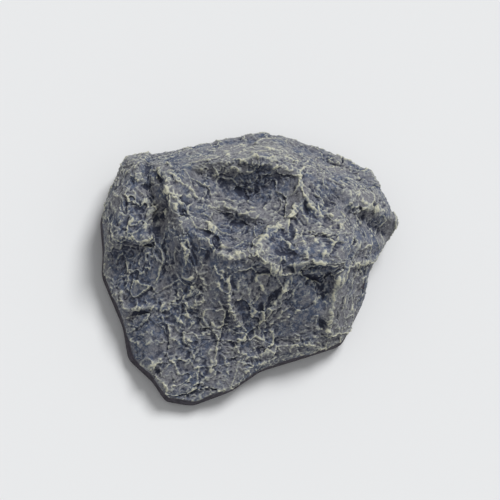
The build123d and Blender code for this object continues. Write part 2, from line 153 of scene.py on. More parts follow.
# What the photograph shows, traced. Ridges, clefts and basins have their height or depth and
# their half width in millimetres, then their spots in pixels. A course is two spots that the crust
# runs along. A stain spot is a spot, a radius in millimetres and a tone, below 0 dark and above 0 pale:
# mostly painted shade where faces lie in shade and painted light where the lamp lights them, partly real
# stain.
RIDGES = (
    # left crest and its branches
    (0.68, 1.3, ((158, 168), (161, 174), (165, 181), (167, 188), (167, 195), (171, 202), (176, 207))),
    (0.56, 1, ((167, 190), (173, 197), (180, 203), (186, 209), (190, 216))),
    (0.37, 0.9, ((176, 207), (181, 214), (186, 219), (190, 222))),
    (0.37, 0.9, ((170, 173), (176, 177), (180, 182), (187, 186), (191, 190))),
    (0.31, 0.8, ((168, 190), (175, 194), (184, 196), (192, 197), (200, 198), (208, 200))),
    (0.37, 0.8, ((178, 203), (190, 206), (200, 208), (210, 207), (222, 206), (234, 209))),
    (0.56, 1, ((190, 219), (200, 219), (207, 222), (213, 229), (218, 236), (222, 244), (224, 250),
        (221, 256))),
    (0.43, 0.8, ((213, 231), (212, 241), (212, 249), (216, 254), (222, 254))),
    (0.43, 0.8, ((181, 220), (183, 230), (186, 240), (187, 250), (186, 260), (184, 269), (183, 276))),
    (0.43, 0.8, ((183, 276), (188, 279), (193, 277), (198, 272))),
    (0.31, 0.7, ((188, 242), (196, 239), (204, 239), (211, 241))),
    (0.31, 0.7, ((202, 262), (202, 272), (204, 283), (209, 292))),
    (0.31, 0.7, ((190, 222), (196, 226), (204, 228), (211, 226))),
    # band from the loop to the window
    (0.62, 1.3, ((222, 256), (230, 256), (238, 253), (247, 250), (257, 248))),
    (0.31, 0.8, ((216, 254), (214, 262), (218, 270), (226, 272))),
    # window rim
    (0.81, 1.4, ((295, 208), (291, 216), (286, 224), (278, 229), (270, 231), (264, 237), (258, 246),
        (259, 252), (264, 259), (270, 266), (278, 271), (286, 272))),
    (0.37, 0.7, ((281, 239), (287, 241), (292, 246), (299, 250), (303, 257), (307, 262))),
    (0.37, 0.7, ((290, 219), (295, 226), (297, 234), (294, 241))),
    (0.31, 0.7, ((262, 252), (268, 250), (272, 243))),
    (0.25, 0.7, ((276, 262), (284, 258), (290, 262))),
    # lip over the cave
    (0.68, 1.1, ((286, 268), (293, 263), (300, 264), (310, 262), (320, 261), (328, 262), (334, 266))),
    (0.37, 0.8, ((322, 262), (323, 255), (326, 249))),
    (0.37, 0.8, ((300, 264), (306, 258), (308, 250), (304, 244))),
    # plateau's left edge and folds
    (0.56, 1, ((299, 170), (301, 179), (302, 188), (305, 196), (308, 204), (313, 210), (320, 215))),
    (0.37, 0.7, ((307, 194), (311, 201), (316, 207), (322, 213))),
    (0.37, 0.8, ((299, 172), (306, 168), (315, 166), (323, 168), (332, 165))),
    (0.37, 0.9, ((318, 216), (325, 213), (333, 216), (338, 222), (343, 227))),
    (0.37, 0.8, ((298, 228), (304, 232), (312, 230), (320, 234), (328, 232), (334, 238), (341, 239))),
    (0.31, 0.8, ((313, 244), (320, 240), (324, 246), (333, 244), (337, 236))),
    (0.37, 0.8, ((340, 182), (350, 186), (358, 184), (366, 190))),
    (0.5, 1.1, ((352, 192), (360, 197), (362, 204), (372, 207), (382, 210))),
    (0.31, 0.8, ((343, 216), (350, 209), (357, 206))),
    (0.31, 0.8, ((352, 230), (357, 224), (364, 222), (370, 230), (372, 240))),
    (0.37, 0.8, ((345, 268), (351, 261), (354, 253), (360, 246))),
    (0.5, 0.9, ((343, 272), (353, 264), (362, 262), (373, 262), (383, 258), (391, 251))),
    # right lower edge
    (0.62, 1.1, ((352, 262), (344, 272), (339, 281), (335, 291), (333, 301), (330, 311), (331, 320),
        (327, 329), (329, 337))),
    (0.31, 0.8, ((343, 285), (350, 292), (353, 301), (350, 310))),
    (0.31, 0.8, ((331, 336), (339, 333), (347, 334), (352, 329))),
    # bowl's rims
    (0.37, 1, ((256, 146), (268, 149), (281, 152))),
    (0.56, 1.1, ((243, 160), (254, 156), (264, 157), (272, 160), (283, 158), (296, 163))),
    (0.37, 0.9, ((222, 150), (228, 154), (228, 163), (222, 168), (216, 172))),
    (0.43, 0.9, ((215, 175), (224, 172), (232, 168), (240, 170), (250, 171))),
    (0.31, 0.8, ((275, 168), (283, 166), (290, 170), (297, 169))),
    (0.31, 0.8, ((252, 208), (264, 206), (275, 208), (288, 205))),
    (0.37, 0.9, ((240, 214), (252, 212), (264, 210))),
    (0.31, 0.8, ((190, 150), (200, 155), (212, 156), (222, 160))),
    (0.31, 0.8, ((160, 163), (172, 166), (186, 164), (200, 168))),
    # left block
    (0.37, 0.9, ((160, 201), (155, 207), (149, 213), (146, 221), (146, 229), (149, 236))),
    (0.43, 0.9, ((158, 221), (157, 228), (153, 236), (147, 240), (140, 241), (132, 237), (124, 240))),
    (0.37, 0.9, ((127, 240), (124, 232), (127, 225), (133, 221), (140, 224))),
    (0.31, 0.8, ((139, 180), (147, 184), (155, 182))),
    (0.31, 0.8, ((121, 168), (128, 172), (133, 168), (139, 165))),
    (0.37, 0.9, ((113, 192), (119, 196), (126, 199), (133, 196))),
    (0.37, 0.9, ((112, 204), (116, 211), (113, 219), (112, 228), (113, 238))),
    (0.31, 0.8, ((140, 211), (146, 206), (152, 203), (160, 196))),
    # left lower face
    (0.31, 0.8, ((144, 242), (147, 250), (146, 258), (148, 266))),
    (0.25, 0.8, ((128, 262), (131, 270), (129, 280), (122, 287))),
    (0.25, 0.8, ((140, 262), (141, 272), (138, 283), (135, 292))),
    (0.25, 0.8, ((158, 262), (160, 272), (157, 282), (152, 291))),
    (0.43, 0.8, ((121, 292), (121, 300), (123, 308), (131, 310), (141, 309), (150, 308), (159, 309))),
    (0.31, 0.8, ((154, 292), (152, 300), (149, 308))),
    (0.31, 0.8, ((159, 309), (166, 303), (172, 305), (176, 298), (181, 291))),
    (0.31, 0.8, ((170, 310), (176, 318), (182, 324), (178, 330))),
    (0.31, 0.8, ((179, 283), (180, 291), (184, 298), (190, 294), (193, 286))),
    (0.43, 0.9, ((142, 366), (148, 368), (155, 364), (161, 360))),
    (0.25, 0.8, ((131, 340), (140, 344), (150, 341), (160, 346))),
    # middle lower face
    (0.37, 0.7, ((229, 279), (229, 290), (228, 300), (230, 309), (235, 317), (238, 324), (231, 330))),
    (0.31, 0.7, ((239, 280), (238, 290), (231, 293))),
    (0.37, 0.7, ((251, 274), (257, 280), (262, 286), (266, 293))),
    (0.31, 0.7, ((243, 275), (247, 284), (248, 295), (252, 303))),
    (0.5, 0.9, ((288, 279), (284, 288), (279, 297), (271, 306), (265, 313), (261, 322), (259, 331))),
    (0.31, 0.7, ((252, 303), (254, 312), (250, 320), (245, 326), (241, 333))),
    (0.31, 0.8, ((205, 283), (210, 289), (207, 296), (200, 303), (194, 306), (186, 306))),
    (0.31, 0.8, ((186, 306), (188, 314), (184, 321))),
    (0.25, 0.8, ((200, 308), (206, 315), (211, 322), (219, 327))),
    (0.31, 0.7, ((219, 283), (221, 291), (225, 297))),
    (0.31, 0.7, ((283, 322), (289, 315), (296, 312), (300, 306))),
    (0.31, 0.7, ((271, 325), (277, 319), (281, 311))),
    (0.31, 0.7, ((318, 276), (313, 285), (309, 293), (301, 301))),
    (0.31, 0.7, ((306, 277), (301, 286), (294, 290), (288, 297))),
    (0.25, 0.7, ((325, 285), (321, 295), (314, 302))),
    (0.5, 1, ((271, 331), (274, 338), (270, 344))),
    # strata of the foot
    (0.43, 1, ((228, 353), (236, 349), (240, 343), (240, 339), (250, 336), (262, 338))),
    (0.37, 0.9, ((238, 351), (246, 356), (252, 352))),
    (0.37, 0.9, ((240, 361), (252, 356), (265, 352), (278, 347), (293, 346), (307, 344), (322, 346))),
    (0.31, 0.8, ((245, 371), (256, 364), (268, 360), (281, 356), (296, 355), (311, 352), (328, 351))),
    (0.31, 0.8, ((172, 362), (180, 358), (188, 361), (193, 367))),
    (0.31, 0.8, ((163, 383), (168, 389), (176, 385), (184, 384), (192, 388))),
    (0.31, 0.8, ((198, 364), (196, 372), (188, 380))),
    (0.31, 0.8, ((205, 352), (213, 350), (221, 347), (228, 343))),
    (0.31, 0.8, ((170, 340), (180, 338), (190, 340), (199, 334), (208, 333))),
    (0.25, 0.8, ((203, 380), (210, 371), (214, 362), (212, 354))),
    (0.25, 0.8, ((218, 384), (224, 375), (227, 366), (233, 358))),
    (0.37, 0.9, ((315, 337), (318, 344), (326, 347), (336, 345), (341, 338))),
)
CLEFTS = (
    (0.54, 1.1, ((179, 207), (183, 212), (187, 217))),
    (0.6, 1.4, ((217, 240), (218, 247))),
    (0.42, 1, ((209, 232), (211, 237))),
    (0.54, 1.2, ((156, 171), (160, 178), (163, 184))),
    (0.6, 1.3, ((165, 201), (164, 209), (160, 217))),
    (0.54, 1.4, ((158, 228), (154, 236), (150, 243), (155, 251))),
    (0.48, 1.1, ((143, 186), (147, 188))),
    (0.42, 1, ((142, 197), (152, 197))),
    (0.42, 1.1, ((128, 186), (133, 183), (132, 178))),
    (0.42, 1.2, ((141, 214), (143, 209), (138, 203))),
    (0.36, 1, ((116, 222), (121, 227), (118, 233))),
    (0.42, 0.9, ((210, 250), (206, 257), (203, 263))),
    (0.48, 1, ((222, 264), (225, 266))),
    (0.54, 1.3, ((276, 254), (284, 252), (290, 254))),
    (0.54, 1.1, ((285, 236), (292, 241), (297, 249), (302, 258))),
    (0.42, 0.9, ((294, 233), (293, 239))),
    (0.42, 0.8, ((312, 187), (314, 193), (317, 199))),
    (0.48, 1, ((304, 203), (306, 209), (308, 216))),
    (0.36, 0.7, ((303, 224), (309, 227))),
    (0.42, 1.1, ((329, 198), (334, 203), (332, 209))),
    (0.42, 0.8, ((337, 225), (338, 229))),
    (0.36, 0.8, ((336, 247), (334, 252))),
    (0.36, 0.8, ((349, 238), (350, 244))),
    (0.42, 0.9, ((361, 205), (364, 212), (362, 218))),
    (0.42, 1.1, ((246, 186), (248, 196), (254, 202))),
    (0.42, 1.1, ((236, 186), (240, 194))),
    (0.42, 1, ((259, 161), (265, 160))),
    (0.36, 1, ((276, 164), (284, 160))),
    (0.36, 0.8, ((216, 195), (222, 196))),
    (0.48, 1.2, ((243, 222), (249, 228), (246, 233))),
    (0.48, 0.9, ((285, 280), (281, 286))),
    (0.66, 1.1, ((277, 289), (272, 298), (267, 306))),
    (0.6, 0.9, ((261, 306), (260, 314), (259, 321))),
    (0.54, 1.1, ((301, 271), (309, 268), (318, 267))),
    (0.54, 0.9, ((309, 277), (306, 284))),
    (0.48, 0.9, ((314, 281), (311, 289))),
    (0.54, 1.2, ((329, 273), (331, 281), (329, 288))),
    (0.48, 1.1, ((320, 318), (325, 326))),
    (0.42, 1, ((311, 328), (316, 333))),
    (0.42, 0.9, ((334, 341), (338, 340))),
    (0.42, 1.1, ((308, 350), (318, 350))),
    (0.36, 0.9, ((252, 351), (258, 350))),
    (0.42, 0.8, ((196, 288), (199, 289))),
    (0.42, 0.8, ((200, 318), (200, 323))),
    (0.36, 0.9, ((176, 292), (175, 299))),
    (0.36, 1, ((161, 303), (166, 307))),
    (0.48, 1.2, ((132, 313), (142, 313), (152, 312))),
    (0.36, 1, ((150, 302), (152, 299))),
    (0.36, 1, ((153, 341), (158, 345))),
    (0.48, 1.3, ((150, 373), (157, 375))),
    (0.36, 1, ((122, 287), (127, 283))),
    (0.36, 0.9, ((233, 343), (236, 342))),
    (0.42, 0.9, ((230, 361), (234, 359))),
    (0.36, 0.9, ((203, 363), (206, 360))),
    (0.36, 1, ((191, 376), (186, 372))),
    (0.36, 1, ((195, 386), (203, 386))),
    (0.36, 0.9, ((166, 356), (170, 353), (172, 347))),
    (0.42, 0.8, ((247, 281), (248, 287))),
    (0.36, 0.8, ((222, 281), (224, 283))),
    (0.36, 0.9, ((232, 291), (234, 293))),
)
BASINS = (
    (0.43, 2.6, ((273, 244), (283, 250), (294, 256))),
    (0.38, 1.3, ((217, 238), (218, 248))),
    (0.34, 1, ((180, 209), (187, 217))),
    (0.24, 1.2, ((292, 226), (293, 238))),
    (0.19, 1.6, ((192, 231), (206, 234))),
    (0.19, 1.7, ((191, 246), (196, 262))),
    (0.24, 1.3, ((304, 200), (308, 214))),
    (0.17, 1.7, ((306, 176), (316, 181))),
    (0.17, 1.8, ((300, 252), (318, 256))),
    (0.24, 1, ((233, 282), (235, 287))),
    (0.19, 1.5, ((240, 303), (244, 318))),
    (0.22, 1.2, ((186, 292), (190, 284))),
    (0.19, 1.3, ((320, 322), (326, 327))),
    (0.14, 1.9, ((370, 236), (376, 246))),
    (0.19, 1.3, ((143, 187), (149, 185))),
    (0.19, 1.6, ((135, 213), (141, 209))),
    (0.17, 1.5, ((117, 222), (120, 230))),
    (0.19, 1.4, ((242, 345), (250, 347))),
    (0.14, 1.7, ((195, 345), (212, 342))),
    (0.19, 1.3, ((204, 366), (206, 373))),
    (0.17, 1.6, ((222, 183), (228, 192))),
    (0.19, 1.6, ((330, 182), (336, 190))),
    (0.17, 2.6, ((142, 322), (156, 324))),
    (0.17, 2.6, ((145, 352), (158, 350))),
    (0.19, 1.4, ((148, 222), (151, 231))),
    (0.17, 1.4, ((206, 302), (212, 308))),
    (0.17, 1.4, ((192, 312), (198, 320))),
    (0.17, 1.5, ((246, 318), (250, 332))),
    (0.17, 1.5, ((288, 300), (292, 308))),
    (0.17, 1.6, ((318, 288), (322, 298))),
    (0.14, 2.2, ((346, 288), (350, 300))),
    (0.14, 2, ((336, 312), (342, 322))),
    (0.17, 1.5, ((226, 262), (240, 264))),
    (0.14, 1.6, ((322, 240), (332, 252))),
    (0.17, 1.8, ((258, 172), (268, 170))),
    (0.14, 1.8, ((140, 165), (152, 166))),
    (0.14, 1.8, ((172, 165), (186, 168))),
    (0.17, 1.4, ((176, 188), (186, 190))),
    (0.14, 1.6, ((178, 350), (186, 354))),
)
COURSES = (
    ((130, 250), (122, 285)), ((150, 250), (145, 290)), ((170, 230), (168, 270)), ((135, 330), (160, 325)),
    ((136, 352), (160, 346)), ((180, 390), (215, 375)), ((215, 370), (250, 354)), ((255, 362), (320, 348)),
    ((318, 275), (303, 300)), ((290, 300), (270, 330)), ((265, 280), (255, 310)), ((235, 280), (232, 315)),
    ((205, 250), (203, 275)), ((195, 157), (230, 147)), ((240, 152), (285, 150)), ((200, 205), (235, 208)),
    ((240, 217), (280, 209)), ((308, 190), (320, 212)), ((346, 280), (338, 320)), ((375, 230), (378, 250)),
    ((175, 175), (190, 190)), ((180, 300), (170, 330)), ((225, 340), (200, 350)), ((120, 205), (124, 228)),
    ((300, 240), (330, 236)),
)
# Spots of painted shade and painted light, with some real stain: dark on faces that lie in shade, pale on
# faces the lamp lights; one pale spot lightens a recess that lies in shadow.
STAINS_WITH_PAINTED_LIGHT_AND_SHADE = (
    ((283, 250), 4, -1), ((248, 190), 6, -0.7), ((265, 184), 5, -0.5), ((318, 275), 5, -0.9),
    ((300, 285), 5, -0.6), ((135, 270), 8, -0.5), ((165, 250), 7, -0.5), ((145, 330), 8, -0.3),
    ((142, 190), 5, -0.4), ((135, 215), 5, -0.3), ((200, 255), 4, -0.5), ((248, 230), 5, -0.5),
    ((192, 233), 4, -0.3), ((163, 219), 4, 0.4), ((265, 305), 5, -0.4), ((310, 320), 5, -0.3),
    ((215, 240), 2.5, -0.6), ((183, 213), 2, -0.6), ((262, 148), 8, 0.9), ((235, 152), 6, 0.6),
    ((290, 155), 5, 0.6), ((205, 160), 5, 0.5), ((345, 175), 5, 0.3), ((368, 200), 5, 0.6),
    ((348, 300), 8, 0.8), ((340, 330), 6, 0.6), ((330, 222), 4, 0.5), ((272, 216), 6, 0.5),
    ((225, 205), 6, 0.3), ((290, 352), 6, 0.3), ((240, 375), 7, 0.3), ((300, 205), 4, 0.3),
    ((120, 175), 5, 0.5), ((112, 205), 4, 0.5), ((262, 250), 2.5, 0.9), ((270, 268), 2.5, 0.8),
    ((235, 254), 3.5, 0.5), ((175, 198), 3, 0.6), ((310, 262), 2.5, 0.6), ((205, 288), 3, 0.4),
    ((180, 180), 4, 0.3),
)

# The rock's own mesh, even and fine enough for the crust.
STONE_CELL = 0.33 * MM
WELD = 0.002 * MM
stone = bpy.data.objects.new("cast_stone_rock", cad_stone.data.copy())
collection.objects.link(stone)
shell = bmesh.new()
shell.from_mesh(stone.data)
bmesh.ops.remove_doubles(shell, verts=shell.verts, dist=WELD)
shell.to_mesh(stone.data)
shell.free()
skin = stone.modifiers.new("skin", "REMESH")
skin.mode = "VOXEL"
skin.voxel_size = STONE_CELL
plain_mesh(stone)

# The casting is smooth where the mould's rim and the pocket's core shaped it, and broken elsewhere.
# Broken edges are eased. The rim is rounded in plan, away from the pocket and the door's channel.
FOOT_TOP = 5.6 * MM
FOOT_FADE = 0.9 * MM
FOOT_WANDER = 1.3 * MM
FOOT_WANDER_SIZE = 7 * MM
POCKET_LOW = Vector((-32.6, -9.6, -1.0)) * MM
POCKET_HIGH = Vector((32.2, 25.6, 12.8)) * MM
CHANNEL_LOW = Vector((28.0, -10.0, -1.0)) * MM
CHANNEL_HIGH = Vector((60.0, 26.0, 4.2)) * MM
POCKET_MARGIN = Vector((1.5, 1.5, 1.5)) * MM
BREAK_ROUNDS = 12
RIM_ROUNDS = 60
FACING_ROUNDS = 10


def within(places, low, high):
    """Which places lie in the box between two corners."""
    return np.all((places > low) & (places < high), axis=1)


points = places_of(stone.data)
edge_ends = ends_of_edges(stone.data)
rim_wander = FOOT_WANDER * np.array([noise.noise(Vector(p) / FOOT_WANDER_SIZE) for p in points])
broken = eased(points[:, 2] + rim_wander, FOOT_TOP - FOOT_FADE, FOOT_TOP + FOOT_FADE)
broken *= ~within(points, POCKET_LOW, POCKET_HIGH)
points += (averaged(points, *edge_ends, BREAK_ROUNDS) - points) * broken[:, None]
by_pocket = within(points, POCKET_LOW - POCKET_MARGIN, POCKET_HIGH + POCKET_MARGIN)
by_pocket |= within(points, CHANNEL_LOW, CHANNEL_HIGH)
rounded = (averaged(points, *edge_ends, RIM_ROUNDS) - points) * ((1 - broken) * ~by_pocket)[:, None]
points[:, :2] += rounded[:, :2]
place_at(stone.data, points)
facing = averaged(outward(stone.data), *edge_ends, FACING_ROUNDS)
facing /= np.linalg.norm(facing, axis=1)[:, None]


def beside(place, path):
    """How far each place is from a path of straight runs."""
    nearest = np.full(len(place), np.inf)
    for start, end in zip(path[:-1], path[1:]):
        run = end - start
        along = np.clip((place - start) @ run / (run @ run), 0, 1)
        nearest = np.minimum(nearest, np.linalg.norm(place - start - along[:, None] * run, axis=1))
    return nearest


def strokes(rows, place, spread, profile):
    """The tallest stroke at each place, 0 beyond their reach."""
    most = np.zeros(len(place))
    for tall, half_width, path in rows:
        reach = half_width * spread
        close = np.flatnonzero(within(place, path.min(0) - reach, path.max(0) + reach))
        t = np.clip(1 - beside(place[close], path) / reach, 0, 1)
        most[close] = np.maximum(most[close], tall * profile(t))
    return most


def level(rows):
    """The same strokes, all 1 tall."""
    return [(1.0, half_width, path) for _, half_width, path in rows]


def wandered(place, size, reach):
    """Places shifted by smooth noise, so that what is drawn through them wanders."""
    return place + reach * np.array([noise.noise_vector(Vector(p) / size) for p in place])


# The traced lines are laid on the smooth breaks. They wander, and the ridges rise and fall along the way.
RIDGE_SPREAD, CLEFT_SPREAD, BASIN_SPREAD = 1.5, 1.4, 1.1
BROAD_WANDER = (4.0, 0.6)  # size and reach in mm
SMALL_WANDER = (1.5, 0.2)
LINE_SHARPNESS = 1.4
PAINT_SHARPNESS = 1.5
BASIN_EASE = 0.8
CALM_EASE = 0.4
UNEVEN_SIZE = 2.0
UNEVEN_MIDDLE, UNEVEN_SWING = 0.85, 0.9
UNEVEN_LEAST, UNEVEN_MOST = 0.4, 1.3

ridges, clefts, basins = cast(RIDGES), cast(CLEFTS), cast(BASINS)
drawn = wandered(wandered(points / MM, *BROAD_WANDER), *SMALL_WANDER)
uneven = [UNEVEN_MIDDLE + UNEVEN_SWING * noise.noise(Vector(p) / UNEVEN_SIZE) for p in drawn]
uneven = np.clip(uneven, UNEVEN_LEAST, UNEVEN_MOST)
ridge = strokes(ridges, drawn, RIDGE_SPREAD, lambda t: t**LINE_SHARPNESS) * uneven
cleft = strokes(clefts, drawn, CLEFT_SPREAD, lambda t: t**LINE_SHARPNESS)
basin = strokes(basins, drawn, BASIN_SPREAD, lambda t: eased(t, 0, BASIN_EASE))
points += facing * ((ridge - cleft - basin) * broken * MM)[:, None]
place_at(stone.data, points)
keep(stone.data, "broken", broken)
keep(stone.data, "calm", strokes(level(basins), drawn, 1.0, lambda t: eased(t, 0, CALM_EASE)))
keep(stone.data, "line", strokes(level(ridges), drawn, RIDGE_SPREAD, lambda t: t**PAINT_SHARPNESS) * uneven)

# The crust's pattern is drawn out along the way that the stone broke in each area.
COURSE_REACH = 11.0
COURSE_PULL = 0.55
UNPULLED = 0.3
pull = np.full(len(points), UNPULLED)
drawn_out = np.zeros((len(points), 3))
for start, end in COURSES:
    start, end = on_stone(start), on_stone(end)
    way = np.round((end - start) / np.linalg.norm(end - start), 2)
    away = points / MM - np.round((start + end) / 2)
    nearness = np.exp(-(away**2).sum(1) / COURSE_REACH**2)
    pull += nearness
    drawn_out += (nearness * (away @ way))[:, None] * way
course = stone.data.attributes.new("course", "FLOAT_VECTOR", "POINT")
course_places = points - COURSE_PULL * MM * drawn_out / pull[:, None]
course.data.foreach_set("vector", course_places.astype(np.float32).ravel())


def add(tree, kind, sockets=None, **settings):
    """One node; its sockets, by name or number, take plain values or other nodes' outputs."""
    node = tree.nodes.new(kind)
    for name, value in settings.items():
        setattr(node, name, value)
    for key, value in (sockets or {}).items():
        if isinstance(value, bpy.types.NodeSocket):
            tree.links.new(value, node.inputs[key])
        else:
            node.inputs[key].default_value = value
    return node


def sum_of(tree, operation, *values):
    return add(tree, "ShaderNodeMath", dict(enumerate(values)), operation=operation).outputs[0]


def vector_of(tree, operation, *values):
    made = add(tree, "ShaderNodeVectorMath", dict(enumerate(values)), operation=operation)
    return made.outputs["Value" if operation == "DOT_PRODUCT" else "Vector"]


def ramp_of(tree, value, low, high, to_low=0.0, to_high=1.0):
    """A smooth rise of the value between two levels."""
    sockets = {"Value": value, "From Min": low, "From Max": high, "To Min": to_low, "To Max": to_high}
    return add(tree, "ShaderNodeMapRange", sockets, interpolation_type="SMOOTHSTEP").outputs["Result"]


CRUST_INPUTS = {
    "Flake Size": ("FLOAT", 5.5 * MM),
    "Flake Tilt": ("FLOAT", 0.10),
    "Flake Step": ("FLOAT", 0.25 * MM),
    "Flake Rim": ("FLOAT", 0.09),
    "Vein Size": ("FLOAT", 4.2 * MM),
    "Vein Width": ("FLOAT", 0.055),
    "Vein Height": ("FLOAT", 0.42 * MM),
    "Fine Vein Size": ("FLOAT", 2.0 * MM),
    "Fine Vein Width": ("FLOAT", 0.07),
    "Fine Vein Height": ("FLOAT", 0.26 * MM),
    "Wander Size": ("FLOAT", 4.0 * MM),
    "Wander": ("FLOAT", 1.1 * MM),
    "Grain Size": ("FLOAT", 1.1 * MM),
    "Grain Height": ("FLOAT", 0.13 * MM),
    "Calm": ("FLOAT", 0.35),
    "Sink": ("FLOAT", 0.12 * MM),
    "Seed": ("INT", 3),
}
SOCKETS = {"FLOAT": "NodeSocketFloat", "INT": "NodeSocketInt"}
SEED_SHIFT = 0.0137
FINE_VEIN_SHIFT = 0.3


def crust(paint):
    """Raises the crazed crust on the broken faces: flakes, wandering veins between them and grain."""
    tree = bpy.data.node_groups.new("crazed_crust", "GeometryNodeTree")
    tree.interface.new_socket("Geometry", in_out="INPUT", socket_type="NodeSocketGeometry")
    tree.interface.new_socket("Geometry", in_out="OUTPUT", socket_type="NodeSocketGeometry")
    for name, (kind, value) in CRUST_INPUTS.items():
        tree.interface.new_socket(name, in_out="INPUT", socket_type=SOCKETS[kind]).default_value = value
    given = add(tree, "NodeGroupInput").outputs

    def kept(name, kind="FLOAT"):
        attribute = add(tree, "GeometryNodeInputNamedAttribute", {"Name": name}, data_type=kind)
        return attribute.outputs["Attribute"]

    def noise_at(where, size, detail, output="Fac"):
        sockets = {"Vector": where, "Scale": sum_of(tree, "DIVIDE", 1.0, size), "Detail": detail}
        return add(tree, "ShaderNodeTexNoise", sockets).outputs[output]

    # the pattern's places: along the courses, moved by the seed, then swung about
    seed = sum_of(tree, "MULTIPLY", given["Seed"], SEED_SHIFT)
    place = vector_of(tree, "ADD", kept("course", "FLOAT_VECTOR"), seed)
    swing = vector_of(tree, "SUBTRACT", noise_at(place, given["Wander Size"], 2.0, "Color"), (0.5, 0.5, 0.5))
    reach = sum_of(tree, "MULTIPLY", given["Wander"], 2.0)
    swing = add(tree, "ShaderNodeVectorMath", {0: swing, "Scale": reach}, operation="SCALE").outputs["Vector"]
    where = vector_of(tree, "ADD", place, swing)

    # flat flakes, each at its own level and leaning its own way
    flake_scale = sum_of(tree, "DIVIDE", 1.0, given["Flake Size"])
    cell = {"Vector": where, "Scale": flake_scale}
    flake = add(tree, "ShaderNodeTexVoronoi", cell, feature="F1")
    rim = add(tree, "ShaderNodeTexVoronoi", cell, feature="DISTANCE_TO_EDGE")
    lean = vector_of(tree, "SUBTRACT", flake.outputs["Color"], (0.5, 0.5, 0.5))
    away = vector_of(tree, "SUBTRACT", where, flake.outputs["Position"])
    leaning = sum_of(tree, "MULTIPLY", vector_of(tree, "DOT_PRODUCT", lean, away), given["Flake Tilt"])
    own_level = add(tree, "ShaderNodeSeparateXYZ", {0: flake.outputs["Color"]}).outputs["Y"]
    stepped = sum_of(tree, "MULTIPLY", sum_of(tree, "SUBTRACT", own_level, 0.5), given["Flake Step"])
    height = sum_of(tree, "MULTIPLY_ADD", leaning, 2.0, stepped)

    def vein(size, width, shift):
        """1 along the middle of a wandering vein, falling to 0 beside it."""
        field = noise_at(vector_of(tree, "ADD", where, (shift, 0.0, 0.0)), size, 2.5)
        off = sum_of(tree, "ABSOLUTE", sum_of(tree, "SUBTRACT", field, 0.5))
        return sum_of(tree, "SUBTRACT", 1.0, ramp_of(tree, off, 0.0, width))

    def patches(size, low, high, least):
        return ramp_of(tree, noise_at(place, size, 1.0), low, high, least, 1.0)

    # veins and the flakes' rims, stronger in some patches than in others, then grain over all
    wide = vein(given["Vein Size"], given["Vein Width"], 0.0)
    wide = sum_of(tree, "MULTIPLY", wide, patches(9.0 * MM, 0.4, 0.62, 0.35))
    thin = vein(given["Fine Vein Size"], given["Fine Vein Width"], FINE_VEIN_SHIFT)
    thin = sum_of(tree, "MULTIPLY", thin, patches(5.0 * MM, 0.38, 0.6, 0.3))
    rims = sum_of(tree, "SUBTRACT", 1.0, ramp_of(tree, rim.outputs["Distance"], 0.0, given["Flake Rim"]))
    rims = sum_of(tree, "MULTIPLY", rims, patches(7.0 * MM, 0.45, 0.6, 0.1))
    wide = sum_of(tree, "MAXIMUM", wide, rims)
    height = sum_of(tree, "MULTIPLY_ADD", wide, given["Vein Height"], height)
    height = sum_of(tree, "MULTIPLY_ADD", thin, given["Fine Vein Height"], height)
    grain = sum_of(tree, "SUBTRACT", noise_at(place, given["Grain Size"], 3.0), 0.5)
    grain_height = sum_of(tree, "MULTIPLY", given["Grain Height"], 4.0)
    height = sum_of(tree, "MULTIPLY_ADD", grain, grain_height, height)
    calmed = sum_of(tree, "SUBTRACT", 1.0, sum_of(tree, "MULTIPLY", kept("calm"), given["Calm"]))
    height = sum_of(tree, "MULTIPLY", height, calmed)
    height = sum_of(tree, "MULTIPLY", sum_of(tree, "SUBTRACT", height, given["Sink"]), kept("broken"))

    facing = add(tree, "GeometryNodeInputNormal").outputs["Normal"]
    raised = add(tree, "ShaderNodeVectorMath", {0: facing, "Scale": height}, operation="SCALE")
    moved = {"Geometry": given["Geometry"], "Offset": raised.outputs["Vector"]}
    moved = add(tree, "GeometryNodeSetPosition", moved).outputs["Geometry"]
    whole = add(tree, "GeometryNodeRealizeInstances", {"Geometry": moved}).outputs["Geometry"]
    coated = add(tree, "GeometryNodeSetMaterial", {"Geometry": whole, "Material": paint})
    add(tree, "NodeGroupOutput", {"Geometry": coated.outputs["Geometry"]})
    return tree


SLATE = (82, 91, 111)
PURPLE_GREY = (113, 113, 119)
WORN_GREY = (131, 132, 137)
DEEP_SLATE = (56, 60, 75)
DRY_BRUSH = (157, 160, 156)
THICK_DRY_BRUSH = (194, 193, 174)
# The foot's two tones are its dark resin, made darker still with painted shade.
FOOT_DARK_WITH_SHADE = (56, 53, 61)
FOOT_LIGHT_WITH_SHADE = (74, 70, 78)
SCREEN_GAMMA = 2.2


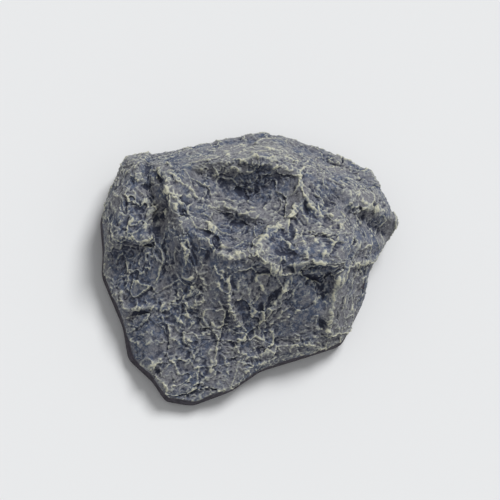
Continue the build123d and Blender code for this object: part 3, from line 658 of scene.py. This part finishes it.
def stone_paint():
    """Slate stain in the hollows, purple grey on the flats, pale dry-brushed paint on every edge, and traced
    spots of painted shade and painted light.
    """
    paint = bpy.data.materials.new("dry_brushed_stone")
    paint.use_nodes = True
    tree = paint.node_tree
    shader = tree.nodes["Principled BSDF"]
    shader.inputs["Specular IOR Level"].default_value = 0.3
    where = add(tree, "ShaderNodeTexCoord").outputs["Object"]
    course = add(tree, "ShaderNodeAttribute", attribute_name="course").outputs["Vector"]

    def clouds(size, detail=3.0, rough=0.5, along=where):
        sockets = {"Vector": along, "Scale": 1 / (size * MM), "Detail": detail, "Roughness": rough}
        return add(tree, "ShaderNodeTexNoise", sockets).outputs["Fac"]

    def mixed(share, under, over):
        mix = add(tree, "ShaderNodeMix", {0: share}, data_type="RGBA")
        for number, colour in ((6, under), (7, over)):
            if isinstance(colour, bpy.types.NodeSocket):
                tree.links.new(colour, mix.inputs[number])
            else:
                mix.inputs[number].default_value = (*[(c / 255) ** SCREEN_GAMMA for c in colour], 1)
        return mix.outputs[2]

    def kept(name):
        return add(tree, "ShaderNodeAttribute", attribute_name=name).outputs["Fac"]

    def hairline(size, width):
        """Thin wandering lines, finer than the casting's own mesh."""
        field = clouds(size, 2.5, 0.55, course)
        off = sum_of(tree, "ABSOLUTE", sum_of(tree, "SUBTRACT", field, 0.5))
        return sum_of(tree, "SUBTRACT", 1.0, ramp_of(tree, off, 0.0, width))

    lines = sum_of(tree, "MULTIPLY", hairline(2.3, 0.075), ramp_of(tree, clouds(3.4), 0.4, 0.6, 0.2, 1.0))
    lines = sum_of(tree, "MAXIMUM", lines, sum_of(tree, "MULTIPLY", hairline(1.3, 0.08), 0.4))
    grain = sum_of(tree, "SUBTRACT", clouds(0.55, 4.0, 0.6), 0.5)
    # painted shade and painted light of the traced spots, partly real stain
    stain_with_painted_light_and_shade = kept("stain_with_painted_light_and_shade")

    # the stain: two greys in blotches, a third in small specks, and darker the deeper it lies; the traced
    # spots shift all three with painted shade and painted light
    blotch = sum_of(tree, "MULTIPLY_ADD", stain_with_painted_light_and_shade, 0.25, clouds(6.0))
    flats = mixed(ramp_of(tree, blotch, 0.38, 0.62), SLATE, PURPLE_GREY)
    speck = sum_of(tree, "ADD", clouds(1.3), sum_of(tree, "MULTIPLY", grain, 0.8))
    flats = mixed(ramp_of(tree, speck, 0.38, 0.7), flats, WORN_GREY)
    deep = sum_of(tree, "ADD", kept("hollow"), sum_of(tree, "MULTIPLY", grain, -0.9))
    deep = sum_of(tree, "MULTIPLY_ADD", stain_with_painted_light_and_shade, -0.3, deep)
    dark = mixed(ramp_of(tree, deep, 0.05, 1.0), flats, DEEP_SLATE)

    # the dry brush catches edges, hairlines and the traced ridges, heavier where the traced spots paint light
    # and lighter where they paint shade
    brushed = sum_of(tree, "MULTIPLY_ADD", lines, 0.4, kept("edge"))
    brushed = sum_of(tree, "MULTIPLY_ADD", kept("line"), 0.6, brushed)
    brushed = sum_of(tree, "SUBTRACT", brushed, 0.14)
    brushed = sum_of(tree, "MULTIPLY_ADD", grain, 1.6, brushed)
    brushed = sum_of(tree, "MULTIPLY_ADD", stain_with_painted_light_and_shade, 0.3, brushed)
    pale = mixed(ramp_of(tree, brushed, 0.25, 1.15), dark, DRY_BRUSH)
    pale = mixed(ramp_of(tree, brushed, 1.0, 1.9), pale, THICK_DRY_BRUSH)

    # the foot: dark resin mottled in two tones, darkened with painted shade
    foot_with_painted_shade = mixed(ramp_of(tree, clouds(1.5), 0.3, 0.7), FOOT_DARK_WITH_SHADE, FOOT_LIGHT_WITH_SHADE)
    coloured = mixed(ramp_of(tree, kept("broken"), 0.0, 0.6), foot_with_painted_shade, pale)
    tree.links.new(coloured, shader.inputs["Base Color"])
    tree.links.new(ramp_of(tree, clouds(0.7), 0.3, 0.7, 0.75, 0.95), shader.inputs["Roughness"])
    relief = sum_of(tree, "ADD", lines, sum_of(tree, "MULTIPLY", grain, 2.0))
    bump = add(tree, "ShaderNodeBump", {"Height": relief, "Strength": 0.6, "Distance": 0.12 * MM})
    tree.links.new(bump.outputs["Normal"], shader.inputs["Normal"])
    return paint


STONE_TRIANGLES = 198000
crusted = stone.modifiers.new("crust", "NODES")
crusted.node_group = crust(stone_paint())
plain_mesh(stone)
thinned = stone.modifiers.new("thinned", "DECIMATE")
thinned.ratio = STONE_TRIANGLES / (2 * len(stone.data.polygons))
thinned.use_collapse_triangulate = True
plain_mesh(stone)

# The paint follows the finished form: where it stands out of its own smoothed surface, at three
# scales, the brush catches it, and where it lies under it, the stain gathers.
FINE_ROUNDS, MIDDLE_ROUNDS, WIDE_ROUNDS = 3, 14, 60
FINE_RISE, MIDDLE_RISE = 0.12, 0.35  # in mm, what the brush catches
FINE_DIP, MIDDLE_DIP, WIDE_DIP = 0.15, 0.35, 0.9  # in mm, what gathers stain
PAINT_LEAST, PAINT_MOST = -1, 2
BASIN_STAIN = 0.4
BASIN_STAIN_EASE = 0.5
STAIN_AND_SHADE_MOST = 1.2
SHARP_EDGE = math.radians(50)
points = places_of(stone.data)
edge_ends = ends_of_edges(stone.data)
facing = outward(stone.data)


def raised_by(rounds):
    """How far each point stands out of the smoothed surface, in millimetres."""
    return ((points - averaged(points, *edge_ends, rounds)) * facing).sum(1) / MM


# Painted shade and painted light at the traced spots, partly real stain, then darker in the traced basins.
stain_with_painted_light_and_shade = np.zeros(len(points))
for spot, radius, tone in STAINS_WITH_PAINTED_LIGHT_AND_SHADE:
    away = ((points / MM - np.round(on_stone(spot))) ** 2).sum(1)
    stain_with_painted_light_and_shade += tone * np.exp(-away / radius**2)
drawn = wandered(points / MM, *BROAD_WANDER)
in_basins = strokes(level(basins), drawn, BASIN_SPREAD, lambda t: eased(t, 0, BASIN_STAIN_EASE))
stain_with_painted_light_and_shade -= BASIN_STAIN * in_basins
fine, middle, wide = raised_by(FINE_ROUNDS), raised_by(MIDDLE_ROUNDS), raised_by(WIDE_ROUNDS)
edge = fine / FINE_RISE * 0.7 + middle / MIDDLE_RISE * 0.5
hollow = -fine / FINE_DIP * 0.45 - middle / MIDDLE_DIP * 0.4 - wide / WIDE_DIP * 0.4
keep(stone.data, "stain_with_painted_light_and_shade", np.clip(stain_with_painted_light_and_shade, -STAIN_AND_SHADE_MOST, STAIN_AND_SHADE_MOST))
keep(stone.data, "edge", np.clip(edge, PAINT_LEAST, PAINT_MOST))
keep(stone.data, "hollow", np.clip(hollow, PAINT_LEAST, PAINT_MOST))

stone.data.shade_smooth()
stone.data.set_sharp_from_angle(angle=SHARP_EDGE)
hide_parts("rock_body")
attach(stone, "rock")

# ---- key box and door ------------------------------------------------------------------
# The box and its sliding door are moulded in black plastic with a fine spark-eroded grain. The
# door's tongues rub in the box's grooves, which polishes faint streaks along the way it slides.

BOX_BLACK, BOX_GRAIN, BOX_RUB = (38, 39, 42), 0.25 * MM, 0.2
DOOR_BLACK, DOOR_GRAIN, DOOR_RUB = (46, 47, 50), 0.22 * MM, 0.5
DULLED, BRIGHTENED, WORN = 0.9, 1.15, 1.6  # the colour's shares in its dull, bright and rubbed parts
ALONG_SLIDE = (0.04, 1.0, 1.0)


def moulded_plastic(name, colour, grain_size, rub):
    """Black plastic, clouded, grained and rubbed in streaks along the slide."""
    plastic = bpy.data.materials.new(name)
    plastic.use_nodes = True
    tree = plastic.node_tree
    shader = tree.nodes["Principled BSDF"]
    where = add(tree, "ShaderNodeTexCoord").outputs["Object"]
    drawn = add(tree, "ShaderNodeMapping", {"Vector": where, "Scale": ALONG_SLIDE}).outputs["Vector"]

    def clouds(along, size, detail):
        sockets = {"Vector": along, "Scale": 1 / size, "Detail": detail}
        return add(tree, "ShaderNodeTexNoise", sockets).outputs["Fac"]

    def mixed(share, under, over):
        return add(tree, "ShaderNodeMix", {0: share, 6: under, 7: over}, data_type="RGBA").outputs[2]

    grain, cloud = clouds(where, grain_size, 2.0), clouds(where, 9 * MM, 3.0)
    rubbed = sum_of(tree, "MULTIPLY", ramp_of(tree, clouds(drawn, 0.5 * MM, 3.0), 0.55, 0.72), rub)
    tones = [(*[(c / 255 * k) ** SCREEN_GAMMA for c in colour], 1) for k in (DULLED, BRIGHTENED, WORN)]
    coloured = mixed(rubbed, mixed(cloud, tones[0], tones[1]), tones[2])
    tree.links.new(coloured, shader.inputs["Base Color"])
    rough = sum_of(tree, "MULTIPLY", rubbed, 0.15)
    rough = sum_of(tree, "SUBTRACT", ramp_of(tree, cloud, 0.3, 0.7, 0.5, 0.6), rough)
    tree.links.new(rough, shader.inputs["Roughness"])
    bump = add(tree, "ShaderNodeBump", {"Height": grain, "Strength": 0.35, "Distance": 0.05 * MM})
    tree.links.new(bump.outputs["Normal"], shader.inputs["Normal"])
    return plastic


def coat(node, material):
    """Gives a node carried over from the frame its finish."""
    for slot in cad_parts[node].material_slots:
        slot.link = "OBJECT"
        slot.material = material


coat("key_box", moulded_plastic("black_box_plastic", BOX_BLACK, BOX_GRAIN, BOX_RUB))
coat("slide_door", moulded_plastic("black_door_plastic", DOOR_BLACK, DOOR_GRAIN, DOOR_RUB))

# ---- bonding paste ---------------------------------------------------------------------
# Two-part paste squeezed between the box and the roof of its pocket. It cures hard, glossy and
# straw coloured, with the swirls of its mixing.

AMBER, STRAW = (0.30, 0.24, 0.13, 1), (0.42, 0.36, 0.22, 1)
SWIRL_SIZE = 5 * MM
bonding_paste = bpy.data.materials.new("cured_bonding_paste")
bonding_paste.use_nodes = True
tree = bonding_paste.node_tree
shader = tree.nodes["Principled BSDF"]
swirl = {"Vector": add(tree, "ShaderNodeTexCoord").outputs["Object"], "Scale": 1 / SWIRL_SIZE}
swirl = add(tree, "ShaderNodeTexNoise", {**swirl, "Detail": 3.0, "Distortion": 1.5}).outputs["Fac"]
tone = add(tree, "ShaderNodeMix", {0: swirl, 6: AMBER, 7: STRAW}, data_type="RGBA").outputs[2]
tree.links.new(tone, shader.inputs["Base Color"])
tree.links.new(ramp_of(tree, swirl, 0.3, 0.7, 0.15, 0.3), shader.inputs["Roughness"])
ripple = add(tree, "ShaderNodeBump", {"Height": swirl, "Strength": 0.3, "Distance": 0.2 * MM})
tree.links.new(ripple.outputs["Normal"], shader.inputs["Normal"])
coat("epoxy_bed", bonding_paste)

# ---- floor, light and camera -----------------------------------------------------------
# A plain pale tabletop just under the rock, a broad lamp high on the far right and an even pale
# room round it. The camera stands where the photograph was taken from.

FLOOR_REACH = 2.0
FLOOR_DROP = 0.05 * MM
FLOOR_COLOUR = (0.8, 0.81, 0.82, 1)
LAMP_STRENGTH = 2.45
LAMP_SPREAD = math.radians(24)
LAMP_SIDE = (0.42, 0.62, 0.95)
ROOM_STRENGTH = 0.4

table = bpy.data.meshes.new("table_top")
corners = [(x * FLOOR_REACH, y * FLOOR_REACH, -FLOOR_DROP) for x, y in ((-1, -1), (1, -1), (1, 1), (-1, 1))]
table.from_pydata(corners, [], [(0, 1, 2, 3)])
floor = bpy.data.objects.new("table_top", table)
collection.objects.link(floor)
table_paint = bpy.data.materials.new("pale_table")
table_paint.use_nodes = True
table_shader = table_paint.node_tree.nodes["Principled BSDF"]
table_shader.inputs["Base Color"].default_value = FLOOR_COLOUR
table_shader.inputs["Roughness"].default_value = 0.9
table.materials.append(table_paint)

lamp = bpy.data.lights.new("key_light", "SUN")
lamp.energy = LAMP_STRENGTH
lamp.angle = LAMP_SPREAD
key_light = bpy.data.objects.new("key_light", lamp)
collection.objects.link(key_light)
key_light.rotation_mode = "QUATERNION"
key_light.rotation_quaternion = Vector(LAMP_SIDE).to_track_quat("Z", "Y")
room = bpy.data.worlds.new("room")
room.use_nodes = True
room.node_tree.nodes["Background"].inputs["Color"].default_value = (1, 1, 1, 1)
room.node_tree.nodes["Background"].inputs["Strength"].default_value = ROOM_STRENGTH
bpy.context.scene.world = room
bpy.context.scene.view_settings.view_transform = "Standard"

camera = bpy.data.cameras.new("camera")
camera.lens = LENS
camera.sensor_width = SENSOR
camera.clip_start = 10 * MM
camera.clip_end = 10.0
viewer = bpy.data.objects.new("camera", camera)
collection.objects.link(viewer)
viewer.matrix_world = Matrix.Translation(eye) @ Matrix((right, up, back)).transposed().to_4x4()
bpy.context.scene.camera = viewer
